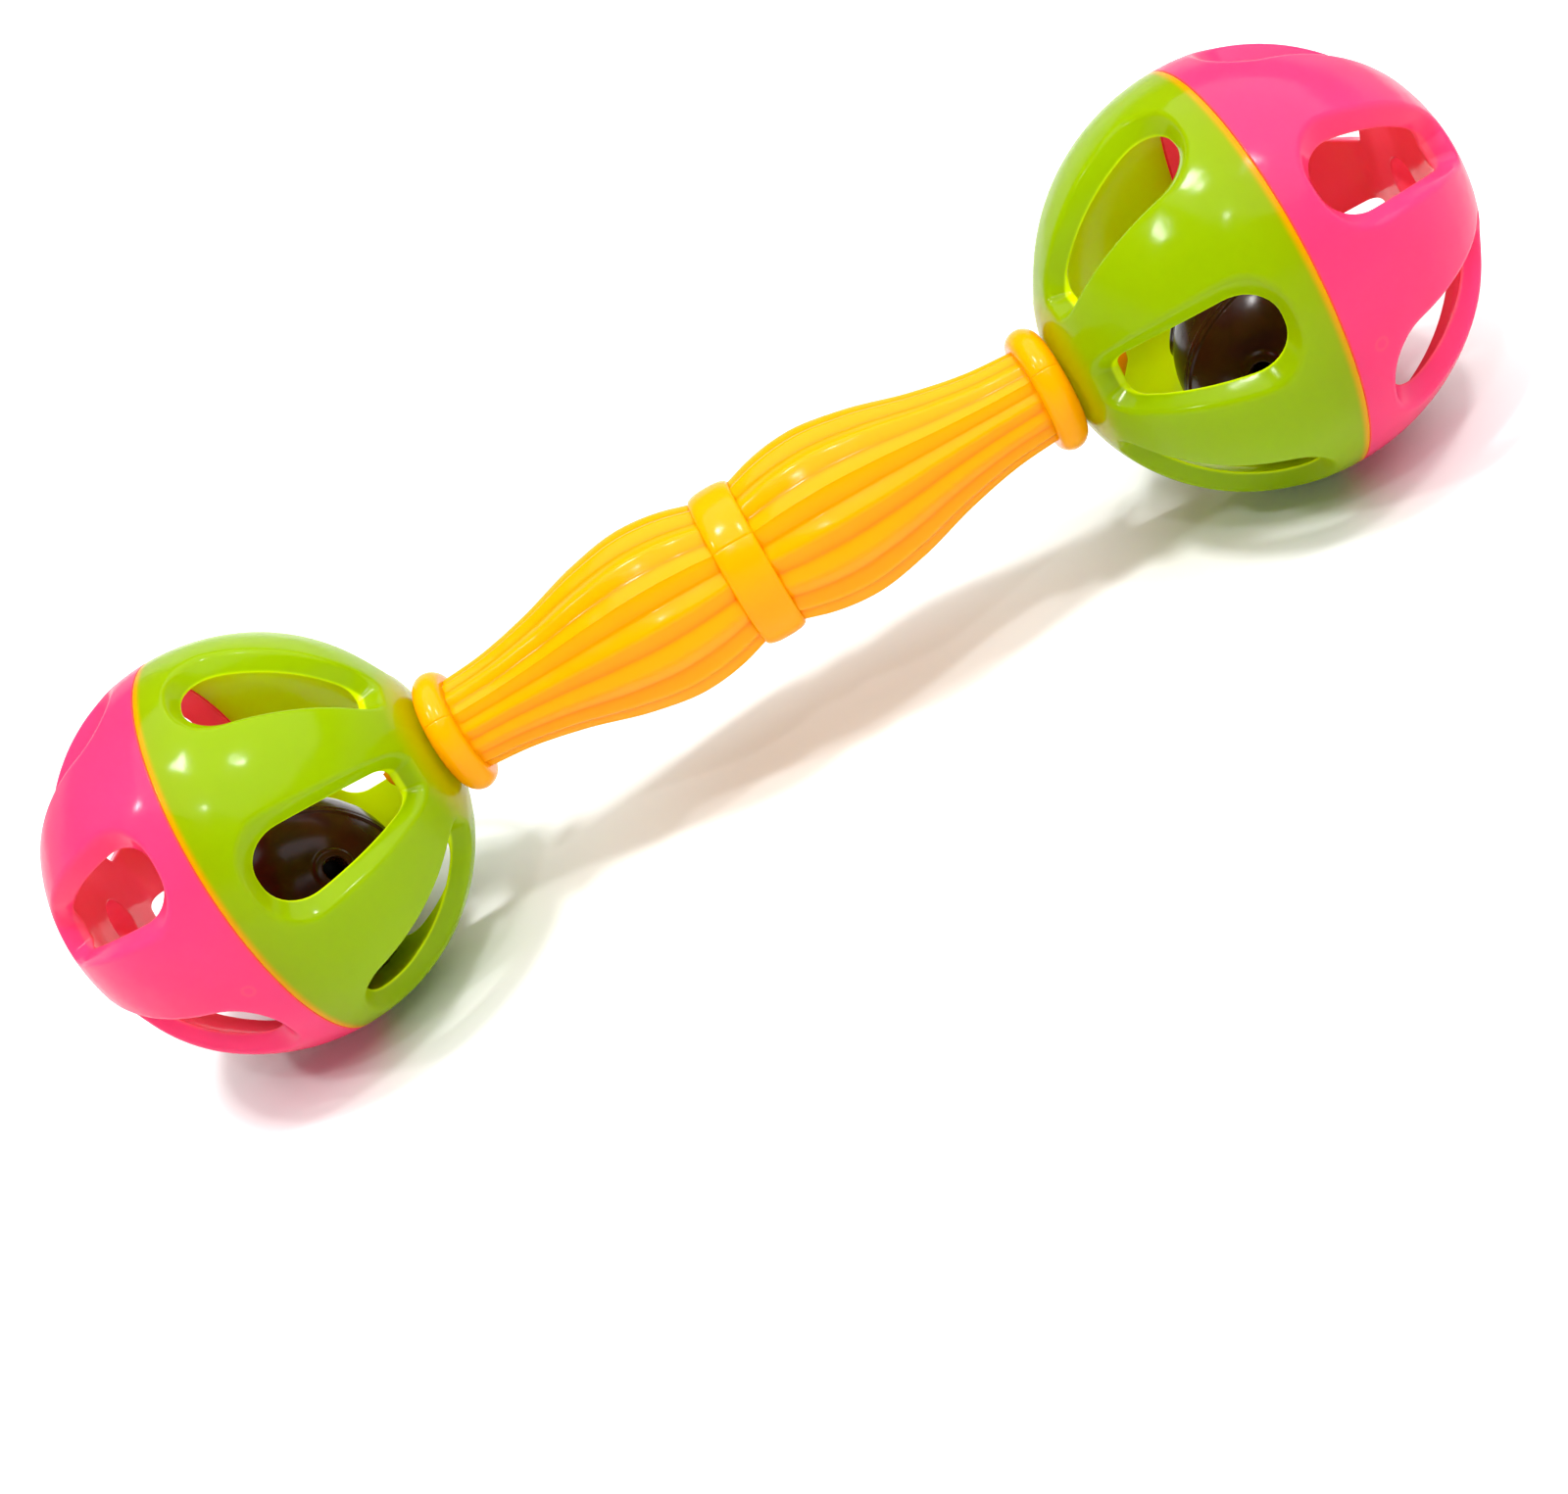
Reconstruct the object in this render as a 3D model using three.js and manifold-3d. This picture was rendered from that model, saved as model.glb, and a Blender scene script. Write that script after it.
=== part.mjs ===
// Baby rattle shaped like a dumbbell: a ribbed hollow handle with a windowed cage ball on each end.
// Each cage ball spins on the handle's snap plug and holds a loose, drilled rattle ball with pellets.
// Units are millimetres. +X runs along the handle, +Z is up, and both cage balls stand on z = 0.
import * as THREE from 'three';
import { mergeVertices } from 'three/addons/utils/BufferGeometryUtils.js';
import Module from 'manifold-3d';

const wasm = await Module();
wasm.setup();

// Driving dimensions of the cage balls.
const BALL_RADIUS = 27.5;
const BALL_SPACING = 146.4;
const CAGE_WALL = 2.5;
const HUB_FACE = 26.95;
const HUB_THICKNESS = 5.25;
const HUB_HOLE_RADIUS = 3.45;
const HALF_GAP = 0.15;
const SPIGOT_LENGTH = 1.0;
const SPIGOT_THICKNESS = 1.1;
const SPIGOT_CLEARANCE = 0.3;

// Windows of one half cage: angles in degrees, counted from the pole and around the axis.
// Drafts are in degrees for each millimetre of depth; a corner's side is a share of the half width.
const WINDOW_COUNT = 6;
const WINDOW_HALF_ANGLE = 16;
const WINDOW_SEAM_ANGLE = 81.5;
const WINDOW_MIDDLE_ANGLE = 55;
const WINDOW_HUB_RADIUS = 11.2;
const WINDOW_SIDE_DRAFT = 1.8;
const WINDOW_SEAM_DRAFT = 1.2;
const WINDOW_SEAM_CORNER = { reach: 12, side: 0.92 };
const WINDOW_HUB_CORNER = { reach: 8, side: 0.6 };
const WINDOW_CUT_RADII = [23, 29.5];

// Where each half cage stops after it was welded on, in degrees about the handle.
const WINDOW_PHASE = {
  right_inner: 46.8,
  right_outer: 21.8,
  left_inner: 41.3,
  left_outer: 23.8,
};

// Handle: radius of the ribbed barrel at a few distances from the middle, then its fittings.
const BARREL_PROFILE = [
  [2.9, 10.1], [6.5, 11.15], [12.6, 11.85], [20, 10.75], [28.5, 8.35], [36, 6.85], [42, 6.35],
];
const BARREL_WALL = 2.1;
const BARREL_CAVITY_END = 38;
const RIB_COUNT = 15;
const GROOVE_DEPTH = 0.055;
const BAND_HALF_WIDTH = 2.9;
const BAND_RADIUS = 10.9;
const BAND_BEVEL = 0.9;
const RING_INNER_X = 41.5;
const RING_OUTER_X = 45.95;
const RING_RADIUS = 8.45;
const HANDLE_SPLIT_ANGLE = 46;
const LOCATING_PIN_X = 15;
const LOCATING_PIN_REACH = 2;
const LOCATING_HOLE_DEPTH = 3;
const LOCATING_POST_TOP = 10.3;
const LOCATING_POST_RADIUS = 2.0;
const LOCATING_PIN_RADIUS = 1.0;
const LOCATING_HOLE_RADIUS = 1.3;

// Snap plug that the cage ball spins on.
const PLUG_RADIUS = 3.1;
const BARB_RADIUS = 4.2;
const BARB_LENGTH = 2.6;
const BARB_TIP_RADIUS = 1.9;
const BARB_STRAIGHT = 0.65;
const PLUG_CLEARANCE = 0.35;
const PLUG_SLOT = 1.6;
const PLUG_SLOT_START = 0.1;

// Rattle ball and its pellets.
const RATTLE_RADIUS = 13.5;
const RATTLE_WALL = 1.5;
const RATTLE_BEAD = 0.3;
const RATTLE_BEAD_WIDTH = 0.8;
const RATTLE_HOLE_COUNT = 5;
const RATTLE_HOLE_ANGLE = 48;
const RATTLE_HOLE_RADIUS = 1.6;
const RATTLE_REST_DROP = 10.75;
const RATTLE_AIM = {
  right: { yaw: -86, pitch: 20, roll: 62.5 },
  left: { yaw: -83.7, pitch: 2.4, roll: 45 },
};
const PELLET_RADIUS = 2.4;
const PELLET_COUNT = 3;
const PELLET_RING_RADIUS = 3.0;
const PELLET_REST_DROP = 8.6;

// How finely the shapes are drawn.
const ROUND_SEGMENTS = 24;
const HANDLE_SEGMENTS = 2 * RIB_COUNT;
const SMALL_SEGMENTS = 16;
const DRILL_SEGMENTS = 8;
const CORNER_STEPS = 2;
const BARREL_STEPS = 8;
const RING_STEPS = 4;
const CAGE_OUTSIDE_STEPS = 6;
const CAGE_INSIDE_STEPS = 5;
const RATTLE_STEPS = 4;
const PELLET_SEGMENTS = [8, 6];
const MERGE_TOLERANCE = 1e-4;

const PINK = new THREE.MeshStandardMaterial({ name: 'pink_plastic', color: '#f4426f', roughness: 0.18 });
const GREEN = new THREE.MeshStandardMaterial({ name: 'lime_plastic', color: '#9ad000', roughness: 0.18 });
const AMBER = new THREE.MeshStandardMaterial({ name: 'amber_plastic', color: '#ffb400', roughness: 0.22 });
const DARK = new THREE.MeshStandardMaterial({ name: 'dark_plastic', color: '#24110e', roughness: 0.25 });
const BEAD = new THREE.MeshStandardMaterial({ name: 'pellet_plastic', color: '#d8d4c8', roughness: 0.4 });

const radians = THREE.MathUtils.degToRad;

/** A closed geometry as a solid that can be joined and cut. */
function solidOf(geometry) {
  const bare = geometry.clone();
  bare.deleteAttribute('normal');
  bare.deleteAttribute('uv');
  const merged = mergeVertices(bare, MERGE_TOLERANCE);
  const corners = merged.index.array;
  const triangles = [];
  for (let i = 0; i < corners.length; i += 3) {
    const [a, b, c] = corners.slice(i, i + 3);
    if (a !== b && b !== c && c !== a) triangles.push(a, b, c);
  }
  return new wasm.Manifold(new wasm.Mesh({
    numProp: 3,
    vertProperties: Float32Array.from(merged.attributes.position.array),
    triVerts: Uint32Array.from(triangles),
  }));
}

/** A solid as a geometry that a mesh can show. */
function geometryOf(solid) {
  const mesh = solid.getMesh();
  const geometry = new THREE.BufferGeometry();
  geometry.setAttribute('position', new THREE.BufferAttribute(mesh.vertProperties, 3));
  geometry.setIndex(new THREE.BufferAttribute(mesh.triVerts, 1));
  geometry.computeVertexNormals();
  return geometry;
}

/** A closed profile of [along X, radius] points, turned about X. */
function revolve(profile, segments) {
  const points = profile.map(([along, radius]) => new THREE.Vector2(radius, along));
  return new THREE.LatheGeometry(points, segments).rotateZ(-Math.PI / 2);
}

/** [along X, radius] points on a sphere about the origin, between two angles from the pole. */
function sphereArc(radius, fromAngle, toAngle, steps) {
  const points = [];
  for (let i = 0; i <= steps; i++) {
    const angle = fromAngle + (toAngle - fromAngle) * i / steps;
    points.push([radius * Math.cos(angle), radius * Math.sin(angle)]);
  }
  return points;
}

/** A point at a distance from the origin, an angle from the +X pole and an angle about X. */
function polarPoint(radius, fromPole, about) {
  return new THREE.Vector3(
    radius * Math.cos(fromPole),
    radius * Math.sin(fromPole) * Math.cos(about),
    radius * Math.sin(fromPole) * Math.sin(about),
  );
}

/** The outline of a cage window at one depth: a rounded rectangle in the two angles of a sphere. */
function windowOutline(radius) {
  const depth = BALL_RADIUS - radius;
  const halfWidth = radians(WINDOW_HALF_ANGLE - WINDOW_SIDE_DRAFT * depth);
  const seamEnd = radians(WINDOW_SEAM_ANGLE - WINDOW_SEAM_DRAFT * depth);
  const hubEnd = Math.asin(WINDOW_HUB_RADIUS / radius);
  const seamReach = radians(WINDOW_SEAM_CORNER.reach);
  const hubReach = radians(WINDOW_HUB_CORNER.reach);
  const seamSide = WINDOW_SEAM_CORNER.side * halfWidth;
  const hubSide = WINDOW_HUB_CORNER.side * halfWidth;
  const seamCorner = { from: seamEnd - seamReach, reach: seamReach, side: seamSide };
  const hubCorner = { from: hubEnd + hubReach, reach: hubReach, side: hubSide };
  const outline = [];
  const addCorner = (corner, startTurn, sideSign) => {
    for (let i = 0; i <= CORNER_STEPS; i++) {
      const turn = startTurn + Math.PI / 2 * i / CORNER_STEPS;
      const fromPole = corner.from + corner.reach * Math.cos(turn);
      const about = sideSign * (halfWidth - corner.side) + corner.side * Math.sin(turn);
      outline.push(polarPoint(radius, fromPole, about));
    }
  };
  const addSideMiddle = (sideSign) => {
    outline.push(polarPoint(radius, (seamCorner.from + hubCorner.from) / 2, sideSign * halfWidth));
  };
  addCorner(seamCorner, 0, 1);
  addSideMiddle(1);
  addCorner(hubCorner, Math.PI / 2, 1);
  addCorner(hubCorner, Math.PI, -1);
  addSideMiddle(-1);
  addCorner(seamCorner, 1.5 * Math.PI, -1);
  return outline;
}

/** A closed wedge between the window outlines at two depths. */
function windowWedge() {
  const rings = WINDOW_CUT_RADII.map(windowOutline);
  const count = rings[0].length;
  const middles = WINDOW_CUT_RADII.map((radius) => polarPoint(radius, radians(WINDOW_MIDDLE_ANGLE), 0));
  const points = [...rings[0], ...rings[1], ...middles];
  const faces = [];
  for (let i = 0; i < count; i++) {
    const next = (i + 1) % count;
    faces.push(i, next, count + next);
    faces.push(i, count + next, count + i);
    faces.push(2 * count, next, i);
    faces.push(2 * count + 1, count + i, count + next);
  }
  const geometry = new THREE.BufferGeometry().setFromPoints(points);
  geometry.setIndex(faces);
  return geometry;
}

/** One half cage, pole towards +X: a thick-hubbed shell with six windows and half of the seam joint. */
function halfCage(phase, hasSpigot) {
  const innerRadius = BALL_RADIUS - CAGE_WALL;
  const hubBack = HUB_FACE - HUB_THICKNESS;
  const seamAngle = Math.acos(HALF_GAP / BALL_RADIUS);
  const outside = sphereArc(BALL_RADIUS, seamAngle, Math.acos(HUB_FACE / BALL_RADIUS), CAGE_OUTSIDE_STEPS);
  const hubBackAngle = Math.acos(hubBack / innerRadius);
  const inside = sphereArc(innerRadius, hubBackAngle, Math.PI / 2, CAGE_INSIDE_STEPS).slice(0, -1);
  const hole = [[HUB_FACE, HUB_HOLE_RADIUS], [hubBack, HUB_HOLE_RADIUS]];
  const spigot = [
    [-SPIGOT_LENGTH, innerRadius],
    [-SPIGOT_LENGTH, innerRadius + SPIGOT_THICKNESS],
    [HALF_GAP, innerRadius + SPIGOT_THICKNESS],
  ];
  const rebateDepth = SPIGOT_LENGTH + SPIGOT_CLEARANCE;
  const rebateRadius = innerRadius + SPIGOT_THICKNESS + SPIGOT_CLEARANCE;
  const rebate = [[rebateDepth, innerRadius], [rebateDepth, rebateRadius], [HALF_GAP, rebateRadius]];
  const joint = hasSpigot ? spigot : rebate;
  let shell = solidOf(revolve([...outside, ...hole, ...inside, ...joint, outside[0]], ROUND_SEGMENTS));
  for (let i = 0; i < WINDOW_COUNT; i++) {
    const turn = radians(phase + 360 * i / WINDOW_COUNT);
    shell = shell.subtract(solidOf(windowWedge().rotateX(turn)));
  }
  return geometryOf(shell);
}

/** The right half of the handle's outside as [along X, radius] points: the middle, barrel and fittings. */
function handleOutline() {
  const middle = [[0, BAND_RADIUS], [BAND_HALF_WIDTH - BAND_BEVEL, BAND_RADIUS]];
  middle.push([BAND_HALF_WIDTH - BAND_BEVEL / 3, BAND_RADIUS - BAND_BEVEL / 3]);
  const curve = new THREE.SplineCurve(BARREL_PROFILE.map(([x, r]) => new THREE.Vector2(x, r)));
  const barrel = curve.getSpacedPoints(BARREL_STEPS).map((point) => [point.x, point.y]);
  const ringMiddle = (RING_INNER_X + RING_OUTER_X) / 2;
  const ringHalf = (RING_OUTER_X - RING_INNER_X) / 2;
  const ring = [];
  for (let i = 1; i < RING_STEPS; i++) {
    const turn = Math.PI * i / RING_STEPS;
    ring.push([ringMiddle - ringHalf * Math.cos(turn), RING_RADIUS - ringHalf + ringHalf * Math.sin(turn)]);
  }
  const shaftStart = [[RING_OUTER_X, RING_RADIUS - ringHalf], [RING_OUTER_X, PLUG_RADIUS]];
  const hubBack = BALL_SPACING / 2 - HUB_FACE + HUB_THICKNESS;
  const barbStart = hubBack + PLUG_CLEARANCE;
  const barb = [
    [barbStart, PLUG_RADIUS],
    [barbStart, BARB_RADIUS],
    [barbStart + BARB_STRAIGHT, BARB_RADIUS],
    [barbStart + BARB_LENGTH, BARB_TIP_RADIUS],
  ];
  return { middle, barrel, fittings: [...ring, ...shaftStart, ...barb], tip: barbStart + BARB_LENGTH };
}

/** The whole handle before it is split: band, ribbed barrels, rings and slotted plugs, hollow inside. */
function wholeHandle() {
  const outline = handleOutline();
  const right = [...outline.middle, ...outline.barrel, ...outline.fittings, [outline.tip, 0]];
  const left = right.slice(1).reverse().map(([x, r]) => [-x, r]);
  const outside = revolve([...left, ...right], HANDLE_SEGMENTS);
  carveGrooves(outside);
  const hollowBarrel = outline.barrel.filter(([x]) => x < BARREL_CAVITY_END);
  const cavityRight = hollowBarrel.map(([x, r]) => [x, r - BARREL_WALL]);
  const lastRadius = cavityRight[cavityRight.length - 1][1];
  cavityRight.push([BARREL_CAVITY_END, lastRadius], [BARREL_CAVITY_END, 0]);
  const cavityLeft = cavityRight.slice().reverse().map(([x, r]) => [-x, r]);
  let handle = solidOf(outside).subtract(solidOf(revolve([...cavityLeft, ...cavityRight], SMALL_SEGMENTS)));
  for (const side of [-1, 1]) {
    const slotLength = outline.tip - RING_OUTER_X;
    const slot = new THREE.BoxGeometry(slotLength, PLUG_SLOT, 3 * BARB_RADIUS);
    slot.translate(side * (RING_OUTER_X + PLUG_SLOT_START + slotLength / 2), 0, 0);
    handle = handle.subtract(solidOf(slot));
  }
  return handle;
}

/** Sink every second line of points on the barrel: ridged ribs, with one along the front parting line. */
function carveGrooves(geometry) {
  const position = geometry.attributes.position;
  const barrelStart = BARREL_PROFILE[0][0];
  const barrelEnd = BARREL_PROFILE[BARREL_PROFILE.length - 1][0];
  const pitch = 2 * Math.PI / RIB_COUNT;
  for (let i = 0; i < position.count; i++) {
    const along = Math.abs(position.getX(i));
    if (along < barrelStart || along > barrelEnd) continue;
    const turn = Math.atan2(position.getY(i), position.getZ(i));
    const depth = GROOVE_DEPTH * (0.5 - 0.5 * Math.cos(2 * Math.PI * turn / pitch));
    position.setY(i, position.getY(i) * (1 - depth));
    position.setZ(i, position.getZ(i) * (1 - depth));
  }
}

/** A round post across the parting plane, between two heights above it. */
function post(x, radius, low, high) {
  const cylinder = new THREE.CylinderGeometry(radius, radius, high - low, DRILL_SEGMENTS);
  return solidOf(cylinder.translate(x, (low + high) / 2, 0));
}

/** The two handle shells, parted on the plane y = 0, with locating pins in one and sockets in the other. */
function handleShells() {
  const whole = wholeHandle();
  const length = 2 * BALL_SPACING;
  const depth = 2 * BALL_RADIUS;
  const shells = {};
  for (const [name, side] of [['pinned', -1], ['socketed', 1]]) {
    const keep = new THREE.BoxGeometry(length, depth, depth).translate(0, side * (depth / 2 + HALF_GAP), 0);
    let shell = whole.intersect(solidOf(keep));
    for (const x of [-LOCATING_PIN_X, LOCATING_PIN_X]) {
      const [low, high] = side < 0 ? [-LOCATING_POST_TOP, -HALF_GAP] : [HALF_GAP, LOCATING_POST_TOP];
      shell = shell.add(post(x, LOCATING_POST_RADIUS, low, high));
      if (side < 0) shell = shell.add(post(x, LOCATING_PIN_RADIUS, low, LOCATING_PIN_REACH));
      else shell = shell.subtract(post(x, LOCATING_HOLE_RADIUS, 0, LOCATING_HOLE_DEPTH));
    }
    shells[name] = geometryOf(shell);
  }
  return shells;
}

/** One half of a rattle ball, pole towards +X, with a raised bead at its seam and a ring of drilled holes. */
function rattleHalf() {
  const innerRadius = RATTLE_RADIUS - RATTLE_WALL;
  const beadRadius = RATTLE_RADIUS + RATTLE_BEAD;
  const outside = sphereArc(RATTLE_RADIUS, Math.acos(RATTLE_BEAD_WIDTH / RATTLE_RADIUS), 0, RATTLE_STEPS);
  const inside = sphereArc(innerRadius, 0, Math.acos(HALF_GAP / innerRadius), RATTLE_STEPS);
  const bead = [[HALF_GAP, beadRadius], [RATTLE_BEAD_WIDTH, beadRadius]];
  let shell = solidOf(revolve([...bead, ...outside, ...inside, bead[0]], SMALL_SEGMENTS));
  for (let i = 0; i < RATTLE_HOLE_COUNT; i++) {
    const [radius, length] = [RATTLE_HOLE_RADIUS, RATTLE_RADIUS];
    const drill = new THREE.CylinderGeometry(radius, radius, length, DRILL_SEGMENTS);
    drill.translate(0, RATTLE_RADIUS, 0);
    drill.rotateZ(radians(RATTLE_HOLE_ANGLE - 90));
    drill.rotateX(2 * Math.PI * i / RATTLE_HOLE_COUNT);
    shell = shell.subtract(solidOf(drill));
  }
  return geometryOf(shell);
}

/** A named mesh. */
function part(name, geometry, material) {
  const mesh = new THREE.Mesh(geometry, material);
  mesh.name = name;
  return mesh;
}

/** One end's cage: the handle-side half carries the spigot, the outer half the rebate. */
function cageBall(side, sign) {
  const ball = new THREE.Group();
  const halves = [['inner', GREEN, -sign, true], ['outer', PINK, sign, false]];
  for (const [where, material, facing, hasSpigot] of halves) {
    const phase = facing * WINDOW_PHASE[`${side}_${where}`];
    const half = part(`${side}_cage_${where}_half`, halfCage(phase, hasSpigot), material);
    half.rotation.z = facing > 0 ? 0 : Math.PI;
    ball.add(half);
  }
  return ball;
}

/** One end's rattle ball at rest on the bottom of its cage, with its pellets. */
function rattleBall(side) {
  const ball = new THREE.Group();
  const aim = RATTLE_AIM[side];
  const shells = new THREE.Group();
  shells.rotation.set(radians(aim.roll), radians(aim.pitch), radians(aim.yaw), 'ZYX');
  const front = part(`${side}_rattle_ball_front_half`, rattleHalf(), DARK);
  const back = part(`${side}_rattle_ball_back_half`, rattleHalf(), DARK);
  back.rotation.z = Math.PI;
  shells.add(front, back);
  ball.add(shells);
  for (let i = 0; i < PELLET_COUNT; i++) {
    const turn = 2 * Math.PI * i / PELLET_COUNT;
    const bead = new THREE.SphereGeometry(PELLET_RADIUS, ...PELLET_SEGMENTS);
    const pellet = part(`${side}_pellet_${i + 1}`, bead, BEAD);
    pellet.rotation.x = Math.PI / 2;
    pellet.position.set(
      PELLET_RING_RADIUS * Math.cos(turn),
      PELLET_RING_RADIUS * Math.sin(turn),
      -PELLET_REST_DROP,
    );
    ball.add(pellet);
  }
  ball.position.z = -RATTLE_REST_DROP;
  return ball;
}

/** The handle's two shells. */
function handle() {
  const group = new THREE.Group();
  const shells = handleShells();
  group.add(part('handle_lower_shell', shells.pinned, AMBER));
  group.add(part('handle_upper_shell', shells.socketed, AMBER));
  group.rotation.x = radians(HANDLE_SPLIT_ANGLE);
  return group;
}

const rattle = new THREE.Group();
rattle.add(handle());
for (const [side, sign] of [['left', -1], ['right', 1]]) {
  const end = new THREE.Group();
  end.add(cageBall(side, sign), rattleBall(side));
  end.position.x = sign * BALL_SPACING / 2;
  rattle.add(end);
}
rattle.position.z = BALL_RADIUS;

export default rattle;
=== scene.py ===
import math

import bmesh
import bpy
import numpy as np
from mathutils import Matrix, Vector


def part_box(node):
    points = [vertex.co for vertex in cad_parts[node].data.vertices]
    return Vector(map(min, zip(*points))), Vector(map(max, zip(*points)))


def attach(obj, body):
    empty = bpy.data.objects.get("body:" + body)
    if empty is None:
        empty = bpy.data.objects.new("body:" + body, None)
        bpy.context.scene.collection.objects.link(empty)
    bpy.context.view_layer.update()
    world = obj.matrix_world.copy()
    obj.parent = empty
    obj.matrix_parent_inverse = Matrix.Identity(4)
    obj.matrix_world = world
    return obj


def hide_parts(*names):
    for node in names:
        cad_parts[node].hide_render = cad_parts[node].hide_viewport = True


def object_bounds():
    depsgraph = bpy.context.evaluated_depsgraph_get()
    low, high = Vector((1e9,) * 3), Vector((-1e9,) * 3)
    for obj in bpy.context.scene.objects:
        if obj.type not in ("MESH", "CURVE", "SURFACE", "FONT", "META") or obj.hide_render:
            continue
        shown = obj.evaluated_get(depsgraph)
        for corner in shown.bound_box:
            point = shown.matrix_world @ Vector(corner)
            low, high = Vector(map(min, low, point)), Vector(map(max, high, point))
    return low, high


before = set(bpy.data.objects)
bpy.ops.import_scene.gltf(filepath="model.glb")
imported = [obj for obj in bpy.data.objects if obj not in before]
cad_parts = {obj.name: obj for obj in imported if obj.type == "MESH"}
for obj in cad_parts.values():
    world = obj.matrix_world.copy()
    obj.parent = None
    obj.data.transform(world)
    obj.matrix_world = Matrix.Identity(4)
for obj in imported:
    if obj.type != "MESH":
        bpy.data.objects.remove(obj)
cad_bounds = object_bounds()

MM = 0.001
SIDES = {"left": -1, "right": 1}

# How near points merge, the angle that makes an edge sharp, and where a rounded corner's lead points lie.
MERGE_DISTANCE = 0.004
SHARP_ANGLE = 55
CORNER_LEAD = 1.35

# Cage ball. Its radius, its centre and the face of its hub come from the frame. The hub's flat back runs
# into the round wall, and stops counting at HUB_BACK_END degrees from the pole.
CAGE_WALL = 2.5
HUB_THICKNESS = 5.25
HUB_HOLE_RADIUS = 3.45
HUB_BACK_BLEND = 0.35
HUB_BACK_END = 70
HUB_EDGE_ROUND = 0.35
HUB_HOLE_ROUND = 0.25
SEAM_GAP = 0.012
SEAM_BEVEL = 0.14
SEAM_INNER_BEVEL = 0.06
SPIGOT_ROUND = 0.1
SPIGOT_LENGTH = 1.0
SPIGOT_THICKNESS = 1.1
SPIGOT_CLEARANCE = 0.3

# Cage windows, each in a cell of its own: angles from the pole and about the handle, (outside, inside).
WINDOW_COUNT = 6
WINDOW_HALF = (16.0, 11.5)
WINDOW_SEAM_END = (81.5, 78.5)
WINDOW_HUB_END = (24.0, 27.3)
WINDOW_HUB_CORNER = (8.0, 0.6)
WINDOW_SEAM_CORNER = (12.0, 0.92)
WINDOW_PHASE = {
    "right_inner": 46.8,
    "right_outer": 21.8,
    "left_inner": 41.3,
    "left_outer": 23.8,
}

# A cell's ends as angles from the pole, its loops from its edge to its window, and the rings past its ends.
CELL_HUB_ANGLE = 16.0
CELL_SEAM_ANGLE = 86.3
CELL_MIXES = (0, 0.25, 0.5, 0.75, 1)
NEAR_HUB_ANGLES = (14.5, 13.0)
NEAR_SEAM_ANGLES = (87.6, 88.8)

# A window's rounded edges: their reach across each face, and through the wall as a share of it.
WINDOW_LIP = 0.55
WINDOW_LIP_DEPTH = 0.2
WINDOW_INNER_LIP = 0.385
WINDOW_INNER_LIP_DEPTH = 0.16
WINDOW_WALL_SHARES = (0.35, 0.5, 0.65)
LIP_STEPS = 5

# The round ejector mark on the outer halves: its place (from the pole, about the handle) and radius.
EJECTOR_MARK = (82.3, -4.4)
EJECTOR_RADIUS = 0.75

# Handle, along X from its middle: (distance, radius) along the barrel, then its fittings.
BARREL_PROFILE = (
    (2.9, 10.1), (6.5, 11.15), (12.6, 11.85), (20, 10.75), (28.5, 8.35), (36, 6.85), (42, 6.35))
BARREL_WALL = 2.1
BARREL_STATIONS = 60
CAVITY_END = 38.0
CAVITY_STEPS = 24
PARTING_GAP = 0.006
PARTING_BEVEL = 0.04
RIB_COUNT = 15
RIB_STEPS = 6
GROOVE_DEPTH = 0.064
RIB_SHARPNESS = 0.99
BAND_HALF_WIDTH = 2.9
BAND_RADIUS = 10.9
BAND_FOOT_RADIUS = 10.05
BAND_SQUARENESS = 2.4
BAND_STEP = 6
RING_START = 41.5
RING_END = 45.95
RING_RADIUS = 8.45
RING_OVERLAP = 0.3
RING_STEPS = 16
PLUG_RADIUS = 3.1
BARB_RADIUS = 4.2
BARB_LENGTH = 2.6
BARB_TIP_RADIUS = 1.9
BARB_TIP_FACE_RADIUS = 1.3
BARB_STRAIGHT = 0.65
PLUG_SLOT = 1.6
PLUG_SLOT_START = 46.55
SPLIT_ANGLE = 46.0
STATION_STEP = 0.005

# Rattle ball, and which way it lies in each cage: yaw, pitch and roll of its front half's pole.
RATTLE_WALL = 1.5
RATTLE_BEAD = 0.3
RATTLE_BEAD_WIDTH = 0.8
RATTLE_ROUND = 0.1
RATTLE_CAP_ANGLES = (20, 16, 12, 8, 4, 0)
RATTLE_CELL_END = 80
RATTLE_NEAR_SEAM = (83, 86)
RATTLE_HOLE_COUNT = 5
RATTLE_HOLE_ANGLE = 48.0
RATTLE_HOLE_RADIUS = 1.6
RATTLE_AIM = {"right": (-86.0, 20.0, 62.5), "left": (-83.7, 2.4, 45.0)}

# The raised lip round a rattle ball's hole, with the plain faces that lead up to it outside and inside.
HOLE_LIP = 0.4
HOLE_LIP_WIDTH = 0.85
HOLE_LIP_FOOT = 1.4
HOLE_LIP_ROUND = 0.22
HOLE_INNER_ROUND = 0.25
HOLE_APRON = 3.0
HOLE_INNER_APRON = 2.2

# Pellets, with a flash line and a gate flat. Each is tilted (the first, then a step for each) and spun.
PELLET_COUNT = 3
PELLET_STEPS = 40
PELLET_GATE_ANGLE = 14
PELLET_FLASH = 0.04
PELLET_FLASH_HALF_WIDTH = 0.06
PELLET_TILT = (35, 70)
PELLET_SPIN = 0.6

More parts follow.
